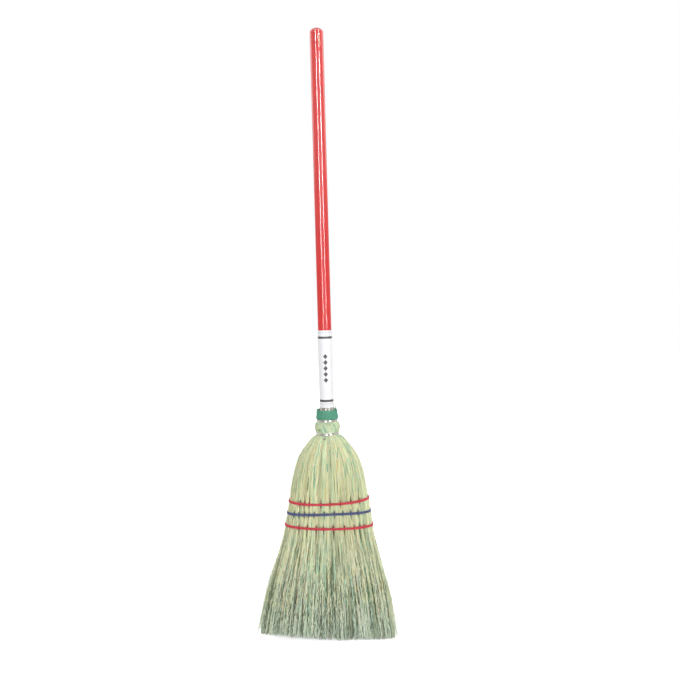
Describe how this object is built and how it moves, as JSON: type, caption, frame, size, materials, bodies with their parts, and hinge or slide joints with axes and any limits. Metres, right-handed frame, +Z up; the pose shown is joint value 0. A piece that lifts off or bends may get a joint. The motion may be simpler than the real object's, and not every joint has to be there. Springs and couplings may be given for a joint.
{
  "type": "straw broom",
  "caption": "Upright straw broom: lacquered round handle, paper label sleeve, wire-bound neck with tape collar, flat flared straw head stitched with rows of twine.",
  "frame": {"origin": "on the handle's axis, in the plane of the straw tips that the broom stands on", "axes": "+Z up along the handle, +X to the right side of the head seen from the front, -Y towards the front"},
  "size_m": [0.2885, 0.0764, 1.341],
  "materials": {
    "handle_lacquer": "gloss red lacquer on turned wood",
    "label_paper": "satin white paper with two black bands",
    "collar_tape": "matt green cloth tape",
    "tinned_wire": "bright tinned wire",
    "tack_steel": "dark blued steel",
    "straw": "matt pale green and yellow straw",
    "red_twine": "matt red twine",
    "blue_twine": "matt blue twine"
  },
  "bodies": {
    "root": {"handle": "handle_lacquer", "label_sleeve": "label_paper", "collar_tape": "collar_tape", "top_wire": "tinned_wire", "collar_wire": "tinned_wire", "shoulder_wire": "tinned_wire", "inner_binding_wire": "tinned_wire", "shoulder_tack": "tack_steel", "loose_straw": "straw", "inside_corn": "straw", "shoulder_corn_left": "straw", "shoulder_corn_right": "straw", "hurl_front": "straw", "hurl_back": "straw", "upper_twine_band": "red_twine", "upper_lacing": "red_twine", "middle_twine_band": "blue_twine", "middle_lacing": "blue_twine", "lower_twine_band": "red_twine", "lower_lacing": "red_twine"}
  },
  "joints": []
}
